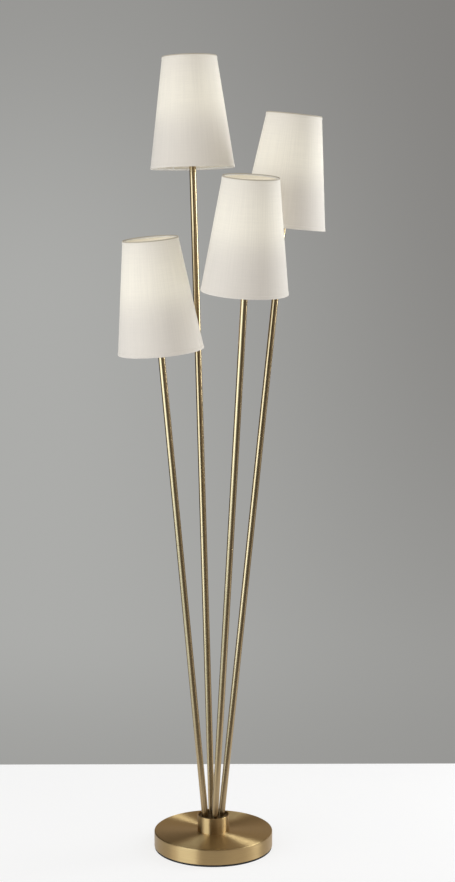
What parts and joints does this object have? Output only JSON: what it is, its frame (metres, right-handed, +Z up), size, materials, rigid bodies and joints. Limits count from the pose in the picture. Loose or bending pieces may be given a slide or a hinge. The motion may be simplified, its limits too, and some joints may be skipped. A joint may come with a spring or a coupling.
{
  "type": "floor lamp",
  "caption": "Floor lamp with slim brass rods fanning from a hub on a round weighted base, each rod ending in a tapered linen drum shade that turns on its lamp holder.",
  "frame": {"origin": "centre of the pad's underside, where the lamp stands on the floor", "axes": "+Z up along the hub's axis, +Y towards the back where the cord inlet is, +X to the right seen from the front"},
  "size_m": [0.428, 0.3896, 1.6831],
  "materials": {
    "brushed_brass": "satin antique brass, finely brushed",
    "aged_brass": "dark cast brass",
    "bright_brass": "bright stamped brass",
    "nickel": "nickel-plated",
    "zinc_steel": "zinc-plated",
    "cast_iron": "rough, lacquered black",
    "rubber": "matt black",
    "black_plastic": "moulded, matt",
    "flex": "clear gold insulation",
    "frosted_glass": "frosted soft white",
    "white_wire": "white-painted wire",
    "linen": "off-white linen on a clear liner"
  },
  "bodies": {
    "stand": {"base_pad": "rubber", "base_plate": "zinc_steel", "plate_screws": "zinc_steel", "base_weight": "cast_iron", "base_cover": "brushed_brass", "cord_bush": "black_plastic", "clamp_nut": "zinc_steel", "clamp_washer": "zinc_steel", "centre_tube": "zinc_steel", "hub_cup": "brushed_brass", "hub_block": "aged_brass", "rod_foot_tubes": "zinc_steel", "rod_joiners": "zinc_steel", "rod_head_tubes": "zinc_steel", "wiring": "flex", "splice_sleeves": "black_plastic", "screw_shells": "bright_brass", "centre_contacts": "bright_brass", "rod_lower_a": "brushed_brass", "rod_lower_b": "brushed_brass", "rod_lower_c": "brushed_brass", "rod_lower_d": "brushed_brass", "rod_upper_a": "brushed_brass", "rod_upper_b": "brushed_brass", "rod_upper_c": "brushed_brass", "rod_upper_d": "brushed_brass", "holder_husk_a": "brushed_brass", "holder_husk_b": "brushed_brass", "holder_husk_c": "brushed_brass", "holder_husk_d": "brushed_brass", "lamp_holder_a": "black_plastic", "lamp_holder_b": "black_plastic", "lamp_holder_c": "black_plastic", "lamp_holder_d": "black_plastic", "ring_nut_a": "black_plastic", "ring_nut_b": "black_plastic", "ring_nut_c": "black_plastic", "ring_nut_d": "black_plastic", "bulb_cap_a": "nickel", "bulb_cap_b": "nickel", "bulb_cap_c": "nickel", "bulb_cap_d": "nickel", "bulb_glass_a": "frosted_glass", "bulb_glass_b": "frosted_glass", "bulb_glass_c": "frosted_glass", "bulb_glass_d": "frosted_glass"},
    "shade_a": {"shade_a": "linen", "shade_top_ring_a": "white_wire", "shade_fitter_a": "white_wire"},
    "shade_b": {"shade_b": "linen", "shade_top_ring_b": "white_wire", "shade_fitter_b": "white_wire"},
    "shade_c": {"shade_c": "linen", "shade_top_ring_c": "white_wire", "shade_fitter_c": "white_wire"},
    "shade_d": {"shade_d": "linen", "shade_top_ring_d": "white_wire", "shade_fitter_d": "white_wire"}
  },
  "joints": [
    {"name": "shade_a_turn", "type": "hinge", "parent": "stand", "child": "shade_a", "pos_m": [-0.04364, 0.09328, 1.51386], "axis": [-0.0278, 0.0524, 0.9982], "continuous": true},
    {"name": "shade_b_turn", "type": "hinge", "parent": "stand", "child": "shade_b", "pos_m": [0.15113, 0.01746, 1.3936], "axis": [0.1005, 0.0106, 0.9949], "continuous": true},
    {"name": "shade_c_turn", "type": "hinge", "parent": "stand", "child": "shade_c", "pos_m": [0.06735, -0.12837, 1.26859], "axis": [0.0531, -0.092, 0.9943], "continuous": true},
    {"name": "shade_d_turn", "type": "hinge", "parent": "stand", "child": "shade_d", "pos_m": [-0.11202, -0.0536, 1.14308], "axis": [-0.0877, -0.0466, 0.9951], "continuous": true}
  ]
}
